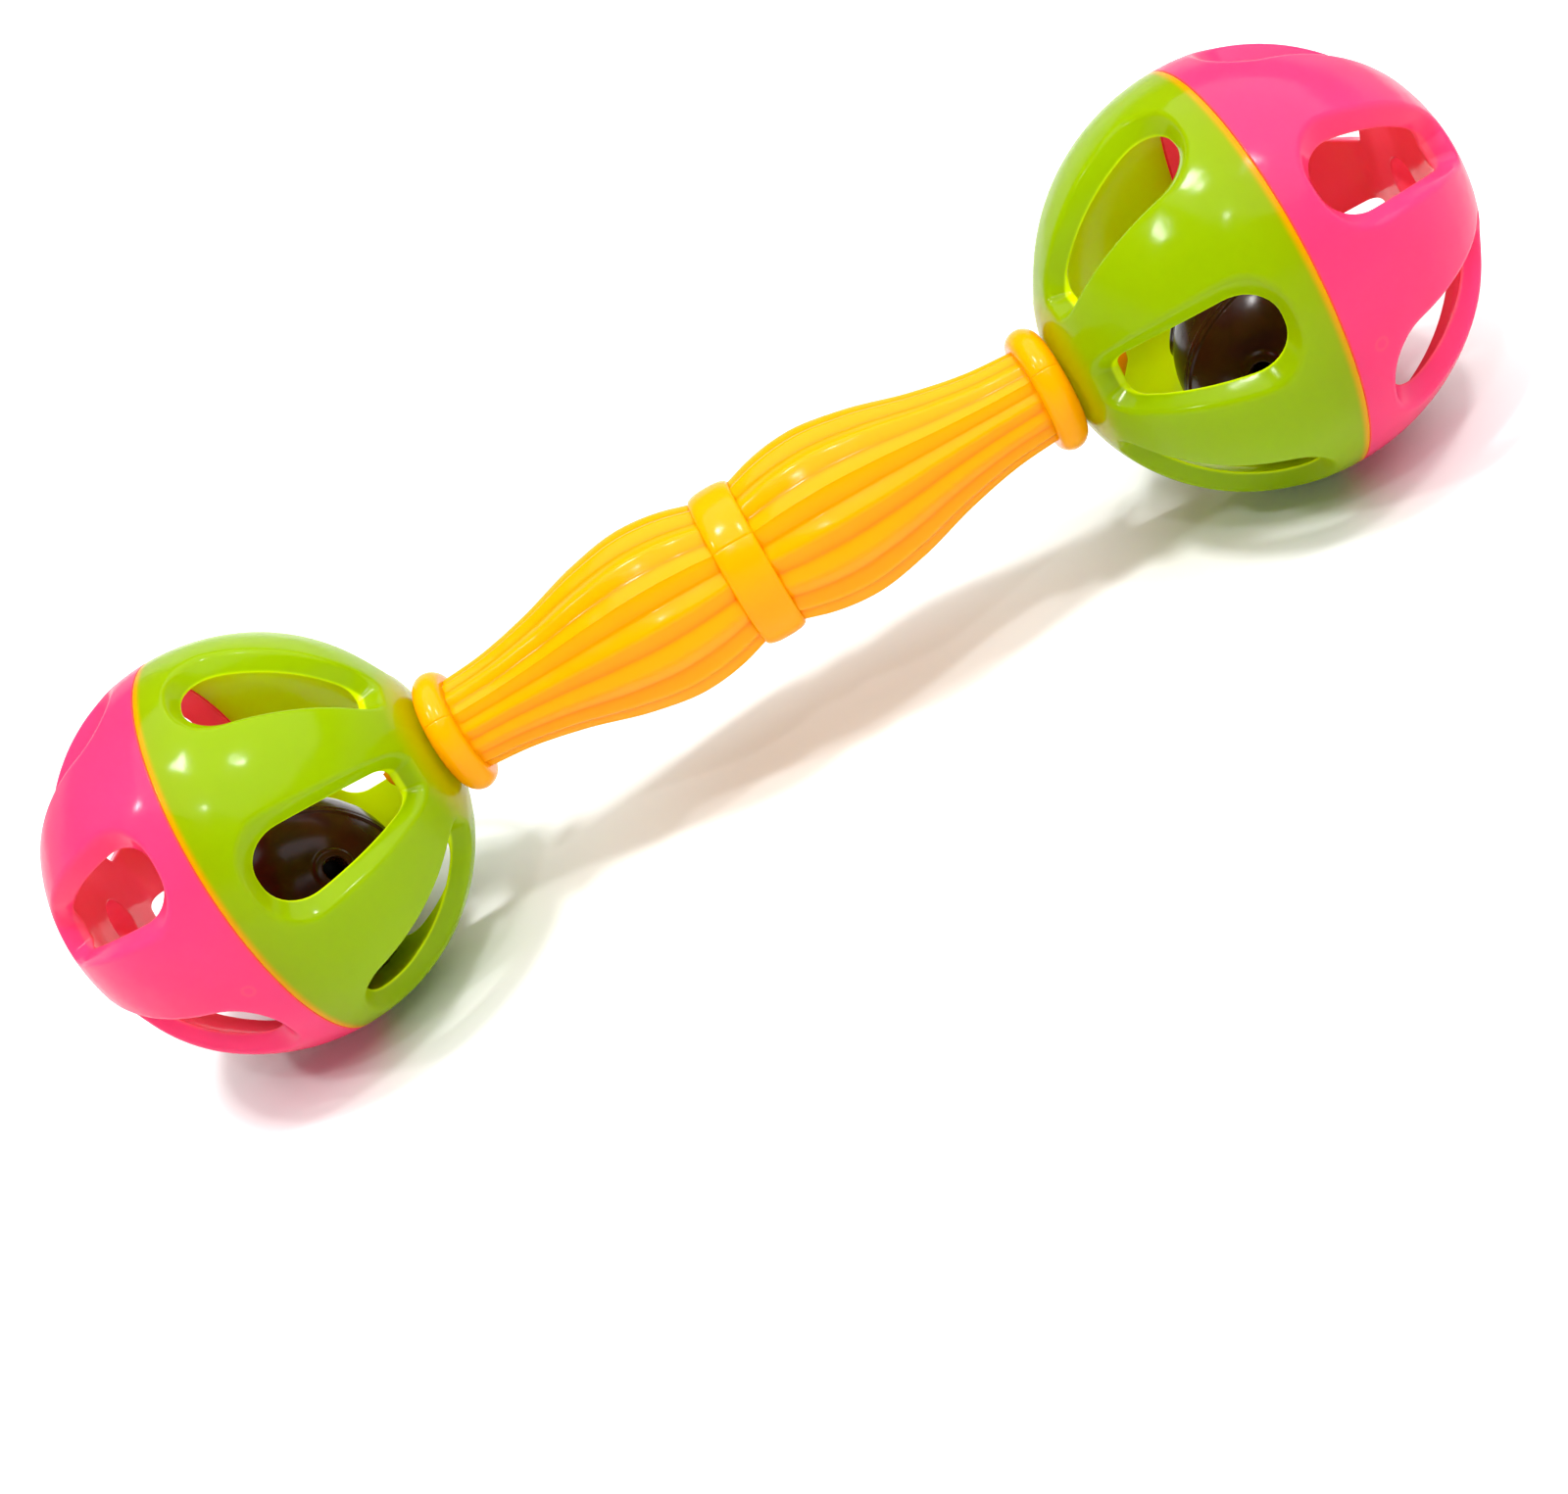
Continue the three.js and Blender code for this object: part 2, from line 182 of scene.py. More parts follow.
# Display colours, 0 to 255.
# In LIME and PINK, lit is the colour of the light let through the wall, also painted as a glow on the inner
# faces, and the seam and hub colours are painted glows of the neighbouring parts' light.
LIME = {
    "body": (144, 170, 0),
    "deep": (127, 157, 0),
    "lit": (222, 246, 0),
    "seam_glow": (255, 140, 0),
    "hub": (236, 150, 0),
}
PINK = {
    "body": (252, 76, 142),
    "deep": (244, 60, 118),
    "lit": (255, 100, 130),
    "seam_glow": (255, 90, 40),
    "hub": (252, 76, 142),
}
# AMBER's groove colour is painted shade, deeper in the grooves.
AMBER = {"body": (255, 182, 0), "deep": (255, 174, 0), "groove_shade": (255, 156, 0)}
DARK = {"body": (36, 15, 7), "deep": (58, 23, 10)}
PELLET = {"body": (226, 222, 210), "deep": (205, 200, 188)}

# Plastics: how much of the light behind a wall comes through, and how narrow the painted shade in the
# grooves is.
CAGE_THROUGH = 0.4
AMBER_THROUGH = 0.3
GROOVE_SHADE_NARROWNESS = 6
REFRACTION = 1.45
SPECULAR_LEVEL = 0.2
GLOW_REACH = 0.003

# Painted glows on a cage, and the ejector mark's ring, by distance: (where the fade starts, where it ends,
# share at its start). The painted glows at the seam and hub stand for the neighbouring parts' light coming
# through; the seam's fade ends at its width, and the painted glow on the inner faces fades between two
# shares of the wall's thickness.
SEAM_GLOW_FADE = (0.0001, 0.85)
HUB_GLOW_FADE = (-0.0265, -0.0245, 0.4)
MARK_TINT = (0.0001, 0.0003, 0.5)
LIME_SEAM_GLOW_WIDTH = 0.0012
PINK_SEAM_GLOW_WIDTH = 0.0003
INNER_GLOW_FADE = (0.97, 0.8)

# Camera, and where the middle of the object lies from it: right, up and forward, in ball radii.
VIEW_AZIMUTH = 5.06
VIEW_ELEVATION = 33.0
VIEW_ROLL = 32.4
VIEW_PLACE = (-0.171, 0.860, 9.595)
LENS = 47.25
SENSOR_WIDTH = 36.0

# The floor, and the sky, whose strength falls from the horizon to overhead.
FLOOR_HALF = 60.0
FLOOR_COLOUR = (0.8, 0.82, 0.81, 1)
FLOOR_ROUGHNESS = 0.9
SKY_COLOUR = (0.97, 0.98, 0.97, 1)
HORIZON_GLOW = {"From Min": 0.18, "From Max": 0.42, "To Min": 1.0, "To Max": 0.1}

# Lights, each with where it stands from the object's middle: right, up and towards the camera.
SOFTBOX_PLACE = (-0.2, 0.8, 0.5)
SOFTBOX_POWER = 3.4
SOFTBOX_ANGLE = 85
WINDOW_LIGHTS = (
    {"name": "window_high", "place": (-0.54, 0.59, 0.60), "size": 0.13, "power": 5.5},
    {"name": "window_over", "place": (-0.09, 0.69, 0.72), "size": 0.08, "power": 2.4},
    {"name": "window_left", "place": (-0.81, 0.25, 0.53), "size": 0.07, "power": 1.8},
    {"name": "window_right", "place": (0.95, 0.10, 0.30), "size": 0.07, "power": 1.4},
    {"name": "window_near", "place": (-0.34, 0.30, 0.90), "size": 0.05, "power": 0.9},
)

# Steps round one window: on half a corner, along a long side and along a short side.
ARC_STEPS = 5
LONG_STEPS = 16
SHORT_STEPS = 6


# ---------------------------------------------------------------- shape helpers


def blend(start, end, share):
    """The value or point a share of the way from start to end."""
    return np.asarray(start, float) * (1 - share) + np.asarray(end, float) * share


def rounded(path, steps=4):
    """A path of (x, y, reach) corners as (x, y) points, with each corner rounded over its reach."""
    points = []
    for i, (x, y, reach) in enumerate(path):
        here = np.array((x, y), float)
        if not reach:
            points.append(tuple(here))
            continue
        ends = []
        for other in (path[i - 1], path[i + 1]):
            away = np.array(other[:2], float) - here
            ends.append(away / np.linalg.norm(away) * reach)
        points.append(tuple(here + CORNER_LEAD * ends[0]))
        for step in range(steps + 1):
            share = step / steps
            points.append(tuple(here + (1 - share) ** 2 * ends[0] + share**2 * ends[1]))
        points.append(tuple(here + CORNER_LEAD * ends[1]))
    return points


def on_sphere(radius, from_pole):
    """(along X, radius, no rounding) of a point on a sphere about the origin."""
    angle = math.radians(from_pole)
    return (radius * math.cos(angle), radius * math.sin(angle), 0)


def polar(radius, from_pole, about):
    """Points at distances from the origin, angles from the +X pole and angles about X, as arrays."""
    pole, turn = np.radians(from_pole), np.radians(about)
    across = radius * np.sin(pole)
    return np.stack([radius * np.cos(pole), across * np.cos(turn), across * np.sin(turn)], axis=-1)


def hoop(along, radius, turns):
    """Points at a distance along X, a radius from it and turns about it."""
    return list(polar(
        np.full(len(turns), math.hypot(along, radius)), math.degrees(math.atan2(radius, along)), turns))


def strip(faces, first, second, count, closed=True):
    """Adds the quads between two rows of count points that start at first and second."""
    for i in range(count if closed else count - 1):
        j = (i + 1) % count
        faces.append((first + i, first + j, second + j, second + i))


def add_piece(name, shape, centre, turn=None):
    """A smooth closed piece from (points, faces), turned about its own origin and placed in the frame."""
    points, faces = shape
    matrix = Matrix.Translation(centre) @ (turn or Matrix()) @ Matrix.Scale(MM, 4)
    mesh = bpy.data.meshes.new(name)
    mesh.from_pydata([tuple(point) for point in points], [], faces)
    mesh.transform(matrix)
    build = bmesh.new()
    build.from_mesh(mesh)
    bmesh.ops.remove_doubles(build, verts=build.verts, dist=MERGE_DISTANCE * MM)
    bmesh.ops.delete(build, geom=[edge for edge in build.edges if edge.is_wire], context="EDGES")
    bmesh.ops.recalc_face_normals(build, faces=build.faces)
    build.to_mesh(mesh)
    build.free()
    mesh.shade_smooth()
    mesh.set_sharp_from_angle(angle=math.radians(SHARP_ANGLE))
    piece = bpy.data.objects.new(name, mesh)
    bpy.context.scene.collection.objects.link(piece)
    return piece


def fit_out(piece, body, material, node):
    """Rides a piece on a body and material, and hides the CAD node it stands for."""
    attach(piece, body)
    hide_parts(node)
    piece.data.materials.append(material)


def lathe(path, steps):
    """Points and faces of a path of (along X, radius) turned about X, from axis to axis."""
    points, faces = [], []
    turns = np.arange(steps) * 360 / steps
    for along, radius in path:
        points += hoop(along, radius, turns)
    for ring in range(len(path) - 1):
        strip(faces, ring * steps, (ring + 1) * steps, steps)
    return points, faces


# ---------------------------------------------------------------- pierced domes


def window_outline(low, high, half, low_corner, high_corner):
    """(from pole, about) points round a window; each corner is (reach from pole, share of half width)."""
    corners = []
    for at_low, sign in ((False, 1), (True, 1), (True, -1), (False, -1)):
        reach, share = low_corner if at_low else high_corner
        middle = low + reach if at_low else high - reach
        corners.append((middle, sign * half * (1 - share), reach, half * share))

    def on_arc(corner, turn):
        middle, across, reach, side = corners[corner % 4]
        angle = math.radians(90 * corner + turn)
        return np.array([middle + reach * math.cos(angle), across + side * math.sin(angle)])

    points = []
    for corner in range(4):
        steps = SHORT_STEPS if corner % 2 else LONG_STEPS
        start, end = on_arc(corner, 90), on_arc(corner + 1, 0)
        points += [on_arc(corner, 45 + 45 * i / ARC_STEPS) for i in range(ARC_STEPS)]
        points += [blend(start, end, i / steps) for i in range(steps)]
        points += [on_arc(corner + 1, 45 * i / ARC_STEPS) for i in range(ARC_STEPS)]
    return np.array(points)


def cell_outline(low, high, half):
    """(from pole, about) points round the cell that holds one window, in step with its outline."""
    corners = ((high, half), (low, half), (low, -half), (high, -half))
    points = []
    for corner in range(4):
        steps = 2 * ARC_STEPS + (SHORT_STEPS if corner % 2 else LONG_STEPS)
        start, end = corners[corner], corners[(corner + 1) % 4]
        points += [blend(start, end, i / steps) for i in range(steps)]
    return np.array(points)


def grown(outline, half, widen):
    """A window outline pushed out by widen degrees across its own edge."""
    low, high = outline[:, 0].min(), outline[:, 0].max()
    along = (outline[:, 0] - (low + high) / 2) / ((high - low) / 2)
    wider = outline.copy()
    wider[:, 1] *= 1 + widen / (half * np.sin(np.radians(outline[:, 0])))
    wider[:, 0] += widen * along
    return wider


def pierced_dome(count, loops, pole_path, seam_path, phase):
    """Points and faces of a dome of window cells, closed by rings of revolution at its pole and its seam.

    loops are one cell's closed loops, from its edge outside, through the window, to its edge inside.
    pole_path and seam_path are (along X, radius) points from the outer cell edge to the inner one."""
    points, faces = [], []
    size = len(loops[0])
    for cell in range(count):
        turn = np.array(Matrix.Rotation(math.radians(phase + 360 * cell / count), 3, "X"))
        first = len(points)
        for loop in loops:
            points += list(loop @ turn.T)
        for ring in range(len(loops) - 1):
            strip(faces, first + ring * size, first + (ring + 1) * size, size)
    around = count * (2 * ARC_STEPS + SHORT_STEPS)
    turns = phase - 180 / count + 360 * np.arange(around) / around
    for path in (pole_path, seam_path):
        first = len(points)
        for along, radius in path:
            points += hoop(along, radius, turns)
        for ring in range(len(path) - 1):
            strip(faces, first + ring * around, first + (ring + 1) * around, around)
    return points, faces


# ---------------------------------------------------------------- cage halves


def cage_inside(from_pole, radius, hub_back):
    """Distance from the centre to the cage's inner face: a sphere that runs into the hub's flat back."""
    sphere = radius - CAGE_WALL
    hub = np.minimum(hub_back / np.cos(np.radians(np.minimum(from_pole, HUB_BACK_END))), 2 * radius)
    return -HUB_BACK_BLEND * np.log(np.exp(-sphere / HUB_BACK_BLEND) + np.exp(-hub / HUB_BACK_BLEND))


def cage_half(phase, has_spigot, radius, hub_face):
    """Points and faces of one half cage, pole towards +X."""
    hub_back = hub_face - HUB_THICKNESS
    cell = cell_outline(CELL_HUB_ANGLE, CELL_SEAM_ANGLE, 180 / WINDOW_COUNT)

    def placed(angles, share):
        """Points a share of the way through the wall, at (from pole, about) angles."""
        inside = cage_inside(angles[:, 0], radius, hub_back)
        return polar(radius + (inside - radius) * share, angles[:, 0], angles[:, 1])

    def window(share, grow):
        """(from pole, about) points of the window's edge a share of the way through, grown outwards."""
        low, high, half = (blend(*ends, share) for ends in (WINDOW_HUB_END, WINDOW_SEAM_END, WINDOW_HALF))
        outline = window_outline(low, high, half, WINDOW_HUB_CORNER, WINDOW_SEAM_CORNER)
        return grown(outline, half, math.degrees(grow / radius))

    def apron(share):
        """Loops between the cell's edge and the window's lip, on the outer or the inner face."""
        near = window(share, 2 * WINDOW_LIP)
        return [placed(blend(cell, near, mix), share) for mix in CELL_MIXES]

    curve = [step / LIP_STEPS for step in range(LIP_STEPS + 1)]
    edge = [(0, 1.3 * WINDOW_LIP)]
    edge += [(WINDOW_LIP_DEPTH * t**2, WINDOW_LIP * (1 - t) ** 2) for t in curve]
    edge += [(share, 0) for share in WINDOW_WALL_SHARES]
    edge += [(1 - WINDOW_INNER_LIP_DEPTH * (1 - t) ** 2, WINDOW_INNER_LIP * t**2) for t in curve]
    edge += [(1, WINDOW_LIP)]
    wall = [placed(window(share, grow), share) for share, grow in edge]
    loops = [*apron(0), *wall, *apron(1)[::-1]]

    hub_edge = math.sqrt(radius**2 - hub_face**2)
    inner_hub = cage_inside(np.array([CELL_HUB_ANGLE]), radius, hub_back)[0]
    pole_path = rounded([
        on_sphere(radius, CELL_HUB_ANGLE),
        *[on_sphere(radius, angle) for angle in NEAR_HUB_ANGLES],
        (hub_face, hub_edge, HUB_EDGE_ROUND),
        (hub_face, HUB_HOLE_RADIUS, HUB_HOLE_ROUND),
        (hub_back, HUB_HOLE_RADIUS, HUB_HOLE_ROUND),
        on_sphere(inner_hub, CELL_HUB_ANGLE),
    ])
    inside = radius - CAGE_WALL
    joint_radius = inside + SPIGOT_THICKNESS
    joint_end = -SPIGOT_LENGTH
    if not has_spigot:
        joint_radius += SPIGOT_CLEARANCE
        joint_end = SPIGOT_LENGTH + SPIGOT_CLEARANCE
    seam_path = rounded([
        on_sphere(radius, CELL_SEAM_ANGLE),
        *[on_sphere(radius, angle) for angle in NEAR_SEAM_ANGLES],
        (SEAM_GAP, radius, SEAM_BEVEL),
        (SEAM_GAP, joint_radius, SEAM_INNER_BEVEL),
        (joint_end, joint_radius, SPIGOT_ROUND),
        (joint_end, inside, SPIGOT_ROUND),
        on_sphere(inside, CELL_SEAM_ANGLE),
    ], steps=3)
    return pierced_dome(WINDOW_COUNT, loops, pole_path, seam_path, phase)


# ---------------------------------------------------------------- rattle balls


def rattle_half(radius):
    """Points and faces of one half rattle ball, pole towards +X, with lipped holes and a seam bead."""
    inside = radius - RATTLE_WALL
    low, high = RATTLE_CAP_ANGLES[0], RATTLE_CELL_END
    cell = cell_outline(low, high, 180 / RATTLE_HOLE_COUNT)
    spread = math.degrees(RATTLE_HOLE_RADIUS / radius)
    half = spread / math.sin(math.radians(RATTLE_HOLE_ANGLE))
    corner = (spread, 1.0)
    ends = (RATTLE_HOLE_ANGLE - spread, RATTLE_HOLE_ANGLE + spread)
    hole = window_outline(*ends, half, corner, corner)

    def loop(angles, reach):
        """Points at one distance from the centre, at (from pole, about) angles."""
        return polar(np.full(len(angles), reach), angles[:, 0], angles[:, 1])

    def round_hole(grow):
        """(from pole, about) points of the hole's edge, grown outwards."""
        return grown(hole, half, math.degrees(grow / radius))

    lip = rounded([
        (HOLE_APRON, radius, 0),
        (HOLE_LIP_FOOT, radius, HOLE_LIP_ROUND),
        (HOLE_LIP_WIDTH, radius + HOLE_LIP, HOLE_LIP_ROUND),
        (0.0, radius + HOLE_LIP, HOLE_LIP_ROUND),
        (0.0, inside, HOLE_INNER_ROUND),
        (HOLE_INNER_APRON, inside, 0),
    ])
    loops = [loop(blend(cell, round_hole(HOLE_APRON), mix), radius) for mix in (0, 0.33, 0.66)]
    loops += [loop(round_hole(grow), reach) for grow, reach in lip]
    loops += [loop(blend(round_hole(HOLE_INNER_APRON), cell, mix), inside) for mix in (0.33, 0.66, 1)]
    pole_path = [on_sphere(radius, angle)[:2] for angle in RATTLE_CAP_ANGLES]
    pole_path += [on_sphere(inside, angle)[:2] for angle in RATTLE_CAP_ANGLES[::-1]]
    top = radius + RATTLE_BEAD
    start_seam, end_seam = RATTLE_NEAR_SEAM
    seam_path = rounded([
        on_sphere(radius, high),
        on_sphere(radius, start_seam),
        (RATTLE_BEAD_WIDTH, radius, RATTLE_ROUND),
        (RATTLE_BEAD_WIDTH * 0.8, top, RATTLE_ROUND),
        (SEAM_GAP, top, RATTLE_ROUND),
        (SEAM_GAP, inside, RATTLE_ROUND),
        on_sphere(inside, end_seam),
        on_sphere(inside, start_seam),
        on_sphere(inside, high),
    ], steps=3)
    return pierced_dome(RATTLE_HOLE_COUNT, loops, pole_path, seam_path, 0)


def pellet(radius):
    """Points and faces of a moulded pellet: a ball with a flash line and a gate flat, pole towards +X."""
    front = [on_sphere(radius, angle)[:2] for angle in range(PELLET_GATE_ANGLE, 84, 10)]
    foot, crest = radius - 0.01, radius + PELLET_FLASH
    flash = [(share * PELLET_FLASH_HALF_WIDTH, reach) for share, reach in (
        (2, foot), (1, crest), (-1, crest), (-2, foot))]
    back = [on_sphere(radius, angle)[:2] for angle in range(96, 177, 10)]
    gate = radius * math.cos(math.radians(PELLET_GATE_ANGLE))
    return lathe([(gate, 0), *front, *flash, *back, (-radius, 0)], PELLET_STEPS)


# ---------------------------------------------------------------- handle


def barrel_radius(along):
    """The barrel's radius at a distance from the middle, on a smooth curve through its profile."""
    distances, radii = np.array(BARREL_PROFILE, float).T
    slopes = np.gradient(radii, distances)
    i = int(np.clip(np.searchsorted(distances, along) - 1, 0, len(distances) - 2))
    gap = distances[i + 1] - distances[i]
    t = float(np.clip((along - distances[i]) / gap, 0, 1))
    start = (2 * t**3 - 3 * t**2 + 1) * radii[i] + (t**3 - 2 * t**2 + t) * gap * slopes[i]
    end = (3 * t**2 - 2 * t**3) * radii[i + 1] + (t**3 - t**2) * gap * slopes[i + 1]
    return start + end


def groove_at(turn):
    """How deep in a groove a point lies, 0 on a rib's ridge to 1, at a turn from the front parting line."""
    wave = math.cos(math.radians(RIB_COUNT * turn))
    return 0.5 - math.asin(RIB_SHARPNESS * wave) / (2 * math.asin(RIB_SHARPNESS))


def band_station(turn):
    """(along X, radius) on the band's rounded back, from its middle at turn 0 to its foot at turn 90."""
    across = math.sin(math.radians(turn)) ** (2 / BAND_SQUARENESS)
    rise = max(math.cos(math.radians(turn)), 0) ** (2 / BAND_SQUARENESS)
    return BAND_HALF_WIDTH * across, blend(BAND_FOOT_RADIUS, BAND_RADIUS, rise)


def handle_stations(barb_start):
    """(along X, radius, groove depth, gap to the parting plane) from the middle to the right plug's tip."""
    stations = [(*band_station(turn), 0, 0) for turn in range(0, 91, BAND_STEP)]
    barrel_end = RING_START + RING_OVERLAP
    for i in range(BARREL_STATIONS):
        along = blend(BAND_HALF_WIDTH, barrel_end, i / (BARREL_STATIONS - 1))
        stations.append((along, barrel_radius(along), GROOVE_DEPTH, 0))
    middle, half = (RING_START + RING_END) / 2, (RING_END - RING_START) / 2
    for i in range(RING_STEPS + 1):
        turn = math.pi * i / RING_STEPS
        along = max(middle - half * math.cos(turn), barrel_end)
        stations.append((along, RING_RADIUS - half + half * math.sin(turn), 0, 0))
    tip = barb_start + BARB_LENGTH
    shaft = rounded([
        (RING_END, RING_RADIUS - half, 0),
        (RING_END, PLUG_RADIUS, 0.15),
        (PLUG_SLOT_START, PLUG_RADIUS, 0),
    ], steps=3)
    stations += [(along, radius, 0, 0) for along, radius in shaft]
    plug = rounded([
        (PLUG_SLOT_START, PLUG_RADIUS, 0),
        (barb_start, PLUG_RADIUS, 0.1),
        (barb_start, BARB_RADIUS, 0.15),
        (barb_start + BARB_STRAIGHT, BARB_RADIUS, 0.25),
        (tip, BARB_TIP_RADIUS, 0.3),
        (tip, BARB_TIP_FACE_RADIUS, 0),
    ], steps=3)
    stations += [(along, radius, 0, PLUG_SLOT / 2) for along, radius in plug]
    for i in range(1, len(stations)):
        along, *rest = stations[i]
        stations[i] = (max(along, stations[i - 1][0] + STATION_STEP), *rest)
    return stations


def handle_half(barb_start):
    """Points and faces of one handle shell, on the +Y side of its parting plane."""
    right = handle_stations(barb_start)
    stations = [(-along, radius, depth, gap) for along, radius, depth, gap in right[:0:-1]] + right
    steps = RIB_COUNT * RIB_STEPS
    size = steps + 3
    nudge = PARTING_BEVEL / 2
    points, faces = [], []

    def section(along, radius, depth, gap):
        """One outer cross-section, from the parting plane round to the parting plane."""
        plane = max(gap, PARTING_GAP)
        lift = math.degrees(math.asin(plane / radius))
        row = []
        for i in range(steps + 1):
            turn = lift + (180 - 2 * lift) * i / steps
            reach = radius * (1 - depth * groove_at(turn))
            if i in (0, steps):
                row.append((along, plane, math.copysign(reach - nudge, 90 - turn)))
            row.append((along, reach * math.sin(math.radians(turn)), reach * math.cos(math.radians(turn))))
        row[-1], row[-2] = row[-2], row[-1]
        row[1] = (along, plane + nudge, row[1][2])
        row[-2] = (along, plane + nudge, row[-2][2])
        return row

    outer = []
    for station in stations:
        outer.append(len(points))
        points += section(*station)
    for first, second in zip(outer, outer[1:]):
        strip(faces, first, second, size, closed=False)
    faces += [tuple(range(outer[0], outer[0] + size)), tuple(range(outer[-1], outer[-1] + size))]

    hollow = [i for i, station in enumerate(stations) if abs(station[0]) <= CAVITY_END]
    inner = []
    for i in hollow:
        inner.append(len(points))
        inside = barrel_radius(max(abs(stations[i][0]), BAND_HALF_WIDTH)) - BARREL_WALL
        lift = math.degrees(math.asin(PARTING_GAP / inside))
        for k in range(CAVITY_STEPS + 1):
            turn = math.radians(lift + (180 - 2 * lift) * k / CAVITY_STEPS)
            points.append((stations[i][0], inside * math.sin(turn), inside * math.cos(turn)))
    for first, second in zip(inner, inner[1:]):
        strip(faces, first, second, CAVITY_STEPS + 1, closed=False)
    faces += [tuple(range(row, row + CAVITY_STEPS + 1)) for row in (inner[0], inner[-1])]

    for k in range(len(hollow) - 1):
        a, b = outer[hollow[k]], outer[hollow[k + 1]]
        faces.append((a, b, inner[k + 1], inner[k]))
        faces.append((a + size - 1, b + size - 1, inner[k + 1] + CAVITY_STEPS, inner[k] + CAVITY_STEPS))
    for ends, at_cavity, wall in (
        (outer[: hollow[0] + 1], hollow[0], inner[0]),
        (outer[: hollow[-1] - 1 : -1], hollow[-1], inner[-1]),
    ):
        for a, b in zip(ends, ends[1:]):
            at_wall = (wall, wall + CAVITY_STEPS) if b == outer[at_cavity] else ()
            faces.append((a, b, *at_wall, b + size - 1, a + size - 1))
    return points, faces


# ---------------------------------------------------------------- materials


def plastic(name, roughness, glow):
    """A glossy moulded plastic: its material and shader, a way to add linked nodes, and the place socket."""
    material = bpy.data.materials.new(name)
    material.use_nodes = True
    tree = material.node_tree
    shader = tree.nodes["Principled BSDF"]
    shader.inputs["IOR"].default_value = REFRACTION
    shader.inputs["Specular IOR Level"].default_value = SPECULAR_LEVEL
    shader.inputs["Subsurface Weight"].default_value = glow
    shader.inputs["Subsurface Scale"].default_value = GLOW_REACH

    def node(kind, inputs=(), **settings):
        made = tree.nodes.new(kind)
        for key, value in settings.items():
            setattr(made, key, value)
        for key, value in dict(inputs).items():
            if isinstance(value, bpy.types.NodeSocket):
                tree.links.new(value, made.inputs[key])
            else:
                made.inputs[key].default_value = value
        return made

    where = node("ShaderNodeTexCoord").outputs["Object"]
    grain = node("ShaderNodeTexNoise", {"Vector": where, "Scale": 900.0, "Detail": 3.0}).outputs["Fac"]
    sway = node("ShaderNodeTexNoise", {"Vector": where, "Scale": 170.0, "Detail": 1.5}).outputs["Fac"]
    smooth, dull = roughness * 0.7, roughness * 1.4
    rough = node("ShaderNodeMapRange", {"Value": grain, "To Min": smooth, "To Max": dull}).outputs["Result"]
    tree.links.new(rough, shader.inputs["Roughness"])
    waves = node("ShaderNodeBump", {"Height": sway, "Strength": 0.4, "Distance": 0.0005}).outputs[0]
    fine = node("ShaderNodeBump", {"Height": grain, "Strength": 0.12, "Distance": 0.00005, "Normal": waves})
    tree.links.new(fine.outputs["Normal"], shader.inputs["Normal"])
    return material, shader, node, where


def paint(shader, node, tint, through, lit_tint=None):
    """Sets the shader's colour, and lets a share of the light behind the wall through, in lit_tint."""
    tree = shader.id_data
    tree.links.new(tint, shader.inputs["Base Color"])
    if through:
        lit = node("ShaderNodeBsdfTranslucent", {"Color": lit_tint or tint}).outputs[0]
        mix = node("ShaderNodeMixShader", {0: through, 1: shader.outputs[0], 2: lit})
        tree.links.new(mix.outputs[0], tree.nodes["Material Output"].inputs["Surface"])


def mixed(node, share, first, second):
    """A colour between two, each a colour or a socket, by a share socket."""
    mix = node("ShaderNodeMix", data_type="RGBA")
    tree = mix.id_data
    for slot, value in ((0, share), (6, first), (7, second)):
        if isinstance(value, bpy.types.NodeSocket):
            tree.links.new(value, mix.inputs[slot])
        else:
            mix.inputs[slot].default_value = value
    return mix.outputs[2]


def colour(red, green, blue):
    """A display colour, 0 to 255, as the linear colour that nodes use."""
    linear = []
    for value in (red, green, blue):
        value /= 255
        linear.append(value / 12.92 if value <= 0.04045 else ((value + 0.055) / 1.055) ** 2.4)
    return (*linear, 1.0)


def fade(node, value, start, end, most=1.0):
    """A share that runs smoothly from most at start to nothing at end."""
    limits = {"Value": value, "From Min": start, "From Max": end, "To Min": most, "To Max": 0.0}
    return node("ShaderNodeMapRange", limits, interpolation_type="SMOOTHSTEP").outputs["Result"]


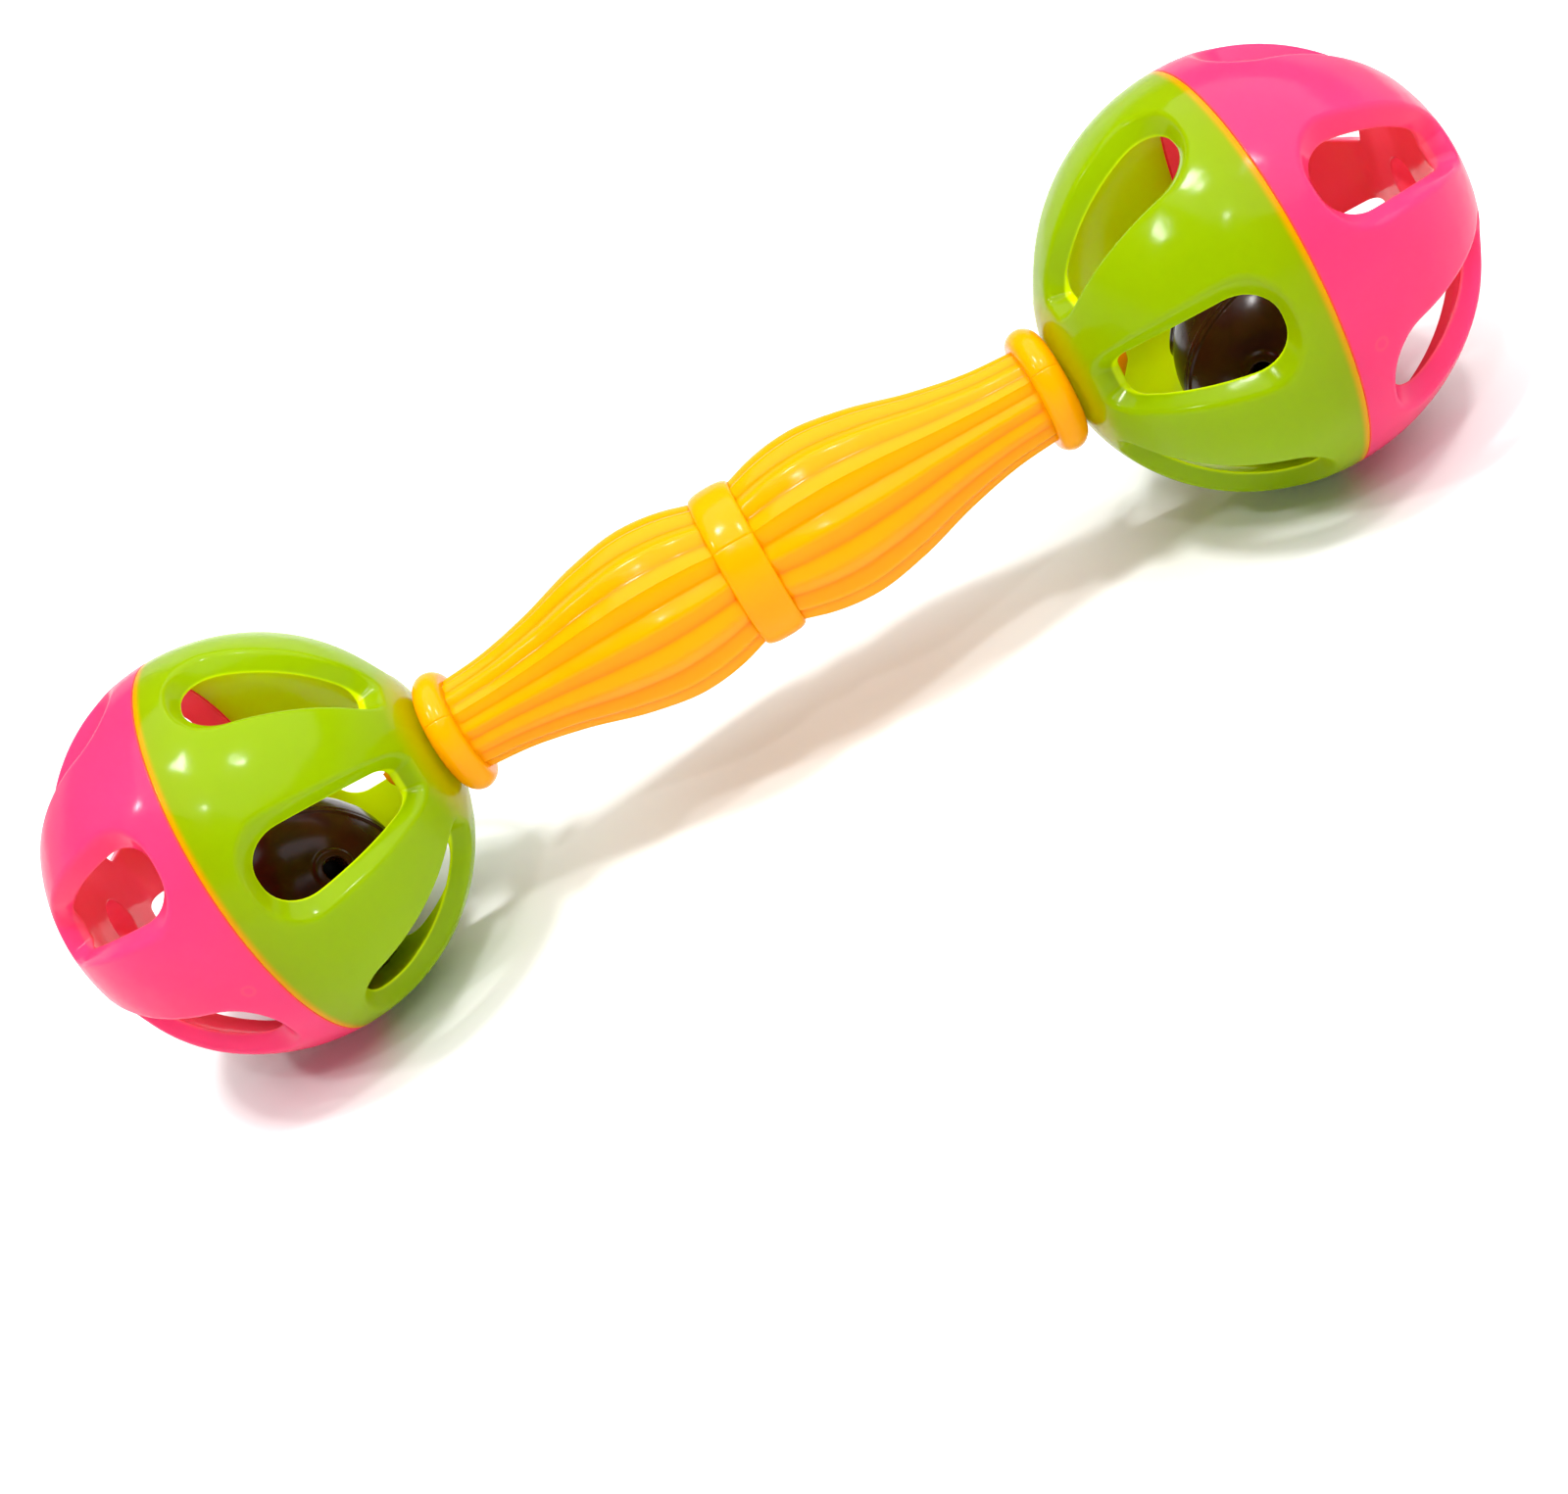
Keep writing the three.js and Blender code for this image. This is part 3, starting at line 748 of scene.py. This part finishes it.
def cage_plastic(name, tints, seam_glow_width, centre, radius, marked=False):
    """Cage plastic, with a painted glow on its inner faces and painted glows at the seam and hub where its
    neighbours' light shows through.
    """
    body, deep, lit, seam_glow, hub = (colour(*tints[key]) for key in ("body", "deep", "lit", "seam_glow", "hub"))
    material, shader, node, where = plastic(name, roughness=0.13, glow=0.2)
    blotch = node("ShaderNodeTexNoise", {"Vector": where, "Scale": 45.0, "Detail": 2.0}).outputs["Fac"]
    varied = mixed(node, blotch, body, deep)
    mirrored = node("ShaderNodeVectorMath", {0: where}, operation="ABSOLUTE").outputs[0]
    offset = node("ShaderNodeVectorMath", {0: mirrored, 1: centre}, operation="SUBTRACT").outputs[0]
    reach = node("ShaderNodeVectorMath", {0: offset}, operation="LENGTH").outputs["Value"]
    # Painted glow: the inner faces take the lit colour, fading out towards the outer face.
    inner_glow = fade(node, reach, *((radius - share * CAGE_WALL) * MM for share in INNER_GLOW_FADE))
    off = node("ShaderNodeSeparateXYZ", {"Vector": offset}).outputs["X"]
    far = node("ShaderNodeMath", {0: off}, operation="ABSOLUTE").outputs[0]
    # Painted glows at the seam and at the hub, where the neighbouring parts' light comes through.
    seam_glow_share = fade(node, far, SEAM_GLOW_FADE[0], seam_glow_width, SEAM_GLOW_FADE[1])
    hub_glow_share = fade(node, off, *HUB_GLOW_FADE)
    with_glows = mixed(node, hub_glow_share, mixed(node, seam_glow_share, varied, seam_glow), hub)
    if marked:
        place = tuple(polar(radius * MM, *EJECTOR_MARK))
        away = node("ShaderNodeVectorMath", {0: offset, 1: place}, operation="DISTANCE").outputs["Value"]
        past = node("ShaderNodeMath", {0: away, 1: EJECTOR_RADIUS * MM}, operation="SUBTRACT").outputs[0]
        from_line = node("ShaderNodeMath", {0: past}, operation="ABSOLUTE").outputs[0]
        with_glows = mixed(node, fade(node, from_line, *MARK_TINT), with_glows, lit)
    paint(shader, node, mixed(node, inner_glow, with_glows, lit), CAGE_THROUGH, lit)
    shader.inputs["Subsurface Radius"].default_value = [max(value, 0.05) for value in body[:3]]
    return material


def handle_plastic():
    """Amber plastic, with painted shade, a deeper orange, in the grooves."""
    material, shader, node, where = plastic("amber", roughness=0.15, glow=0.25)
    # Painted shade: the mesh's groove share takes the colour to the groove colour.
    groove_shade = node("ShaderNodeAttribute", attribute_name="groove_shade").outputs["Fac"]
    blotch = node("ShaderNodeTexNoise", {"Vector": where, "Scale": 40.0, "Detail": 2.0}).outputs["Fac"]
    ribs = mixed(node, blotch, colour(*AMBER["body"]), colour(*AMBER["deep"]))
    paint(shader, node, mixed(node, groove_shade, ribs, colour(*AMBER["groove_shade"])), AMBER_THROUGH)
    shader.inputs["Subsurface Radius"].default_value = (1.0, 0.5, 0.05)
    return material


def dark_plastic():
    """Near-black brown plastic with a faint marbling."""
    material, shader, node, where = plastic("dark", roughness=0.2, glow=0.0)
    swirl = {"Vector": where, "Scale": 220.0, "Detail": 4.0, "Distortion": 1.2}
    marble = node("ShaderNodeTexNoise", swirl).outputs["Fac"]
    paint(shader, node, mixed(node, marble, colour(*DARK["body"]), colour(*DARK["deep"])), 0)
    return material


def pellet_plastic():
    """Off-white plastic with faint grey flecks."""
    material, shader, node, where = plastic("pellet", roughness=0.4, glow=0.1)
    fleck = node("ShaderNodeTexNoise", {"Vector": where, "Scale": 1500.0, "Detail": 2.0}).outputs["Fac"]
    paint(shader, node, mixed(node, fleck, colour(*PELLET["body"]), colour(*PELLET["deep"])), 0)
    return material


# ---------------------------------------------------------------- pieces


def box_round(*nodes):
    """The low and high corner of the box round some CAD nodes, in metres."""
    lows, highs = zip(*(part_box(node) for node in nodes))
    return Vector([min(values) for values in zip(*lows)]), Vector([max(values) for values in zip(*highs)])


def centre_of(*nodes):
    """The middle of the box round some CAD nodes, in metres."""
    low, high = box_round(*nodes)
    return (low + high) / 2


def build_cage(side, sign, materials):
    """Both halves of one cage ball, from their boxes in the frame."""
    names = {where: f"{side}_cage_{where}_half" for where in ("inner", "outer")}
    centre = centre_of(*names.values())
    low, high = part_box(names["outer"])
    radius = (high[2] - low[2]) / 2 / MM
    hub_face = max(abs(low[0] - centre.x), abs(high[0] - centre.x)) / MM
    looks = {"inner": ("lime_plastic", -sign, True), "outer": ("pink_plastic", sign, False)}
    for where, (slot, facing, has_spigot) in looks.items():
        shape = cage_half(facing * WINDOW_PHASE[f"{side}_{where}"], has_spigot, radius, hub_face)
        turn = Matrix.Rotation(0 if facing > 0 else math.pi, 4, "Z")
        piece = add_piece(f"{names[where]}_shell", shape, centre, turn)
        fit_out(piece, f"{side}_cage", materials[slot], names[where])


def build_rattle_ball(side, materials):
    """Both halves of one rattle ball and its pellets."""
    names = {where: f"{side}_rattle_ball_{where}_half" for where in ("front", "back")}
    low, high = box_round(*names.values())
    centre = (low + high) / 2
    radius = max(high - low) / 2 / MM - RATTLE_BEAD
    yaw, pitch, roll = (math.radians(angle) for angle in RATTLE_AIM[side])
    aim = Matrix.Rotation(yaw, 4, "Z") @ Matrix.Rotation(pitch, 4, "Y") @ Matrix.Rotation(roll, 4, "X")
    for where, flip in (("front", 0), ("back", math.pi)):
        turn = aim @ Matrix.Rotation(flip, 4, "Z")
        piece = add_piece(f"{names[where]}_shell", rattle_half(radius), centre, turn)
        fit_out(piece, f"{side}_rattle_ball", materials["dark_plastic"], names[where])
    for i in range(PELLET_COUNT):
        name = f"{side}_pellet_{i + 1}"
        low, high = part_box(name)
        tilt = math.radians(PELLET_TILT[0] + PELLET_TILT[1] * i)
        turn = Matrix.Rotation(tilt, 4, "Y") @ Matrix.Rotation(PELLET_SPIN * i, 4, "Z")
        piece = add_piece(f"{name}_ball", pellet((high[2] - low[2]) / 2 / MM), centre_of(name), turn)
        fit_out(piece, name, materials["pellet_plastic"], name)


def build_handle(materials):
    """Both handle shells, parted on their slanting plane."""
    names = {"handle_lower_shell": -1, "handle_upper_shell": 1}
    centre = centre_of(*names)
    barb_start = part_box("handle_upper_shell")[1][0] / MM - BARB_LENGTH
    for name, facing in names.items():
        mirror = Matrix.Scale(facing, 4, (0, 1, 0))
        turn = Matrix.Rotation(math.radians(SPLIT_ANGLE), 4, "X") @ mirror
        piece = add_piece(f"{name}_half", handle_half(barb_start), centre, turn)
        # Each point's share of the painted groove shade, highest deep in a groove and nothing off the
        # barrel.
        layer = piece.data.attributes.new("groove_shade", "FLOAT", "POINT")
        values = []
        for vertex in piece.data.vertices:
            away = vertex.co - centre
            on_barrel = BAND_HALF_WIDTH < abs(away.x) / MM < RING_START
            turn = math.degrees(math.atan2(away.z, away.y)) - SPLIT_ANGLE - 90
            values.append(groove_at(turn) ** GROOVE_SHADE_NARROWNESS if on_barrel else 0)
        layer.data.foreach_set("value", values)
        fit_out(piece, "handle", materials["amber_plastic"], name)


cage_centre = centre_of("right_cage_inner_half", "right_cage_outer_half")
cage_radius = cage_centre.z / MM
materials = {
    "lime_plastic": cage_plastic("lime", LIME, LIME_SEAM_GLOW_WIDTH, cage_centre, cage_radius),
    "pink_plastic": cage_plastic("pink", PINK, PINK_SEAM_GLOW_WIDTH, cage_centre, cage_radius, marked=True),
    "amber_plastic": handle_plastic(),
    "dark_plastic": dark_plastic(),
    "pellet_plastic": pellet_plastic(),
}
for side, sign in SIDES.items():
    build_cage(side, sign, materials)
    build_rattle_ball(side, materials)
build_handle(materials)


# ---------------------------------------------------------------- floor, light and camera

middle = (cad_bounds[0] + cad_bounds[1]) / 2
floor_z = cad_bounds[0].z


def build_floor():
    """A wide, pale floor that fades into the world's colour."""
    mesh = bpy.data.meshes.new("floor")
    signs = ((-1, -1), (1, -1), (1, 1), (-1, 1))
    corners = [(x * FLOOR_HALF, y * FLOOR_HALF, floor_z) for x, y in signs]
    mesh.from_pydata(corners, [], [(0, 1, 2, 3)])
    floor = bpy.data.objects.new("floor", mesh)
    bpy.context.scene.collection.objects.link(floor)
    material = bpy.data.materials.new("floor")
    material.use_nodes = True
    shader = material.node_tree.nodes["Principled BSDF"]
    shader.inputs["Base Color"].default_value = FLOOR_COLOUR
    shader.inputs["Roughness"].default_value = FLOOR_ROUGHNESS
    mesh.materials.append(material)


def add_light(name, place, size, power, target):
    """A square soft light at a place, pointed at a target."""
    data = bpy.data.lights.new(name, "AREA")
    data.size = size
    data.energy = power
    light = bpy.data.objects.new(name, data)
    light.location = place
    light.rotation_mode = "QUATERNION"
    light.rotation_quaternion = (Vector(target) - Vector(place)).to_track_quat("-Z", "Y")
    bpy.context.scene.collection.objects.link(light)


def build_camera(radius):
    """A tilted camera in front of and above the object; returns its right, up and forward directions."""
    azimuth, elevation, roll = (math.radians(a) for a in (VIEW_AZIMUTH, VIEW_ELEVATION, VIEW_ROLL))
    forward = Vector((
        -math.sin(azimuth) * math.cos(elevation),
        math.cos(azimuth) * math.cos(elevation),
        -math.sin(elevation),
    ))
    level = Vector((math.cos(azimuth), math.sin(azimuth), 0))
    upright = level.cross(forward)
    right = level * math.cos(roll) - upright * math.sin(roll)
    up = level * math.sin(roll) + upright * math.cos(roll)
    place = middle - radius * (VIEW_PLACE[0] * right + VIEW_PLACE[1] * up + VIEW_PLACE[2] * forward)
    data = bpy.data.cameras.new("camera")
    data.lens = LENS
    data.sensor_width = SENSOR_WIDTH
    camera = bpy.data.objects.new("camera", data)
    axes = Matrix((right, up, -forward)).transposed().to_4x4()
    camera.matrix_world = Matrix.Translation(place) @ axes
    bpy.context.scene.collection.objects.link(camera)
    bpy.context.scene.camera = camera
    return right, up, forward


def build_softbox(right, up, forward):
    """A wide soft light from above and in front."""
    data = bpy.data.lights.new("softbox", "SUN")
    data.energy = SOFTBOX_POWER
    data.angle = math.radians(SOFTBOX_ANGLE)
    softbox = bpy.data.objects.new("softbox", data)
    softbox.rotation_mode = "QUATERNION"
    towards = SOFTBOX_PLACE[0] * right + SOFTBOX_PLACE[1] * up - SOFTBOX_PLACE[2] * forward
    softbox.rotation_quaternion = towards.to_track_quat("Z", "Y")
    bpy.context.scene.collection.objects.link(softbox)


def build_sky():
    """A pale sky that is bright at the horizon and dim overhead."""
    world = bpy.data.worlds.new("world")
    world.use_nodes = True
    nodes, links = world.node_tree.nodes, world.node_tree.links
    sky = nodes["Background"]
    sky.inputs["Color"].default_value = SKY_COLOUR
    heights = nodes.new("ShaderNodeSeparateXYZ")
    links.new(nodes.new("ShaderNodeTexCoord").outputs["Generated"], heights.inputs[0])
    glow = nodes.new("ShaderNodeMapRange")
    glow.interpolation_type = "SMOOTHSTEP"
    links.new(heights.outputs["Z"], glow.inputs["Value"])
    for socket, value in HORIZON_GLOW.items():
        glow.inputs[socket].default_value = value
    links.new(glow.outputs["Result"], sky.inputs["Strength"])
    bpy.context.scene.world = world


ball_radius = (cad_bounds[1].z - cad_bounds[0].z) / 2
right, up, forward = build_camera(ball_radius)
build_floor()
build_softbox(right, up, forward)
for light in WINDOW_LIGHTS:
    across, rise, nearer = light["place"]
    place = middle + across * right + rise * up - nearer * forward
    add_light(light["name"], place, light["size"], light["power"], middle)
build_sky()
bpy.context.scene.view_settings.view_transform = "Standard"
